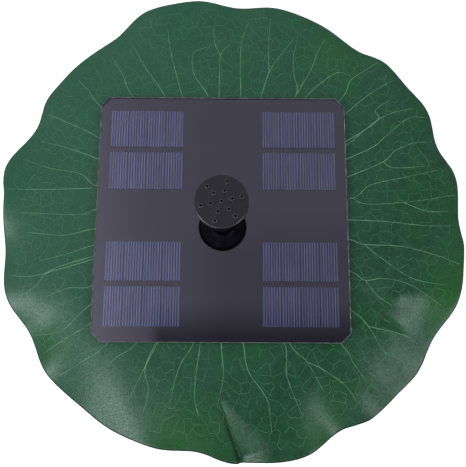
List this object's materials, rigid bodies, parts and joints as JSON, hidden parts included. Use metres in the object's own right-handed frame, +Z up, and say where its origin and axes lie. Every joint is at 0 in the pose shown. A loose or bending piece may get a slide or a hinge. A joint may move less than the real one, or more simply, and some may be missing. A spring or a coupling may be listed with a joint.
{
  "type": "solar floating fountain pump",
  "caption": "Round lotus-leaf float carrying a square solar panel, with a small submersible pump and strainer below and a round spray head on a short riser above.",
  "frame": {"origin": "on the fountain's upright axis, at the flat underside of the strainer bowl it stands on", "axes": "+Z up along the spray axis; +X along the panel's right side; the pump's own axis lies along Y, inlet facing -Y"},
  "size_m": [0.2786, 0.2861, 0.0828],
  "materials": {
    "leaf_foam": "satin",
    "float_foam": "matte",
    "black_plastic": "satin",
    "panel_laminate": "satin",
    "clear_resin": "gloss",
    "silicon": "satin",
    "black_rubber": "matte",
    "steel": "satin",
    "copper": "satin",
    "laminations": "satin",
    "ferrite": "matte",
    "shaft_ceramic": "gloss",
    "white_plastic": "satin",
    "circuit_board": "satin",
    "sponge": "matte"
  },
  "bodies": {
    "float_unit": {"lotus_leaf": "leaf_foam", "float_ring": "float_foam", "pump_housing": "black_plastic", "clamp_plate": "black_plastic", "terminal_cover": "black_plastic", "pump_body": "black_plastic", "back_cover": "black_plastic", "inlet_cover": "black_plastic", "panel_board": "panel_laminate", "panel_cover": "clear_resin", "solar_cell_1": "silicon", "solar_cell_2": "silicon", "solar_cell_3": "silicon", "solar_cell_4": "silicon", "solar_cell_5": "silicon", "solar_cell_6": "silicon", "solar_cell_7": "silicon", "solar_cell_8": "silicon", "tube_collar": "black_rubber", "power_cable": "black_rubber", "roof_grommet": "black_rubber", "cable_grommet": "black_rubber", "outlet_sleeve": "black_rubber", "shaft_bush_rear": "black_rubber", "shaft_bush_front": "black_rubber", "cover_seal": "black_rubber", "clamp_screw_1": "steel", "clamp_screw_2": "steel", "clamp_screw_3": "steel", "clamp_screw_4": "steel", "pump_screw_1": "steel", "pump_screw_2": "steel", "cover_screw_1": "steel", "cover_screw_2": "steel", "coil_left": "copper", "coil_right": "copper", "stator_core": "laminations", "pump_shaft": "shaft_ceramic", "control_board": "circuit_board"},
    "rotor": {"rotor_magnet": "ferrite", "impeller": "white_plastic"},
    "strainer_core": {"filter_sponge": "sponge"},
    "strainer": {"strainer_bowl": "black_plastic"},
    "riser": {"riser_tube": "black_plastic"},
    "head_ring": {"head_seal": "black_rubber"},
    "spray_head": {"spray_head_body": "black_plastic", "spray_cap": "black_plastic"}
  },
  "joints": [
    {"name": "impeller_spin", "type": "hinge", "parent": "float_unit", "child": "rotor", "pos_m": [0, 0, 0.02], "axis": [0, 1, 0], "continuous": true},
    {"name": "strainer_twist", "type": "hinge", "parent": "strainer_core", "child": "strainer", "pos_m": [0, 0, 0], "axis": [0, 0, -1], "range_deg": [0, 140]},
    {"name": "strainer_drop", "type": "slide", "parent": "float_unit", "child": "strainer_core", "axis": [0, 0, -1], "range_m": [0, 0.0281]},
    {"name": "riser_lift", "type": "slide", "parent": "float_unit", "child": "riser", "axis": [0, 0, 1], "range_m": [0, 0.02]},
    {"name": "head_lift", "type": "slide", "parent": "riser", "child": "head_ring", "axis": [0, 0, 1], "range_m": [0, 0.012]},
    {"name": "head_turn", "type": "hinge", "parent": "head_ring", "child": "spray_head", "pos_m": [0, 0, 0.07], "axis": [0, 0, 1], "continuous": true}
  ],
  "couplings": [
    {"joint": "strainer_drop", "follows": "strainer_twist", "m_per_rad": 0.011459}
  ]
}
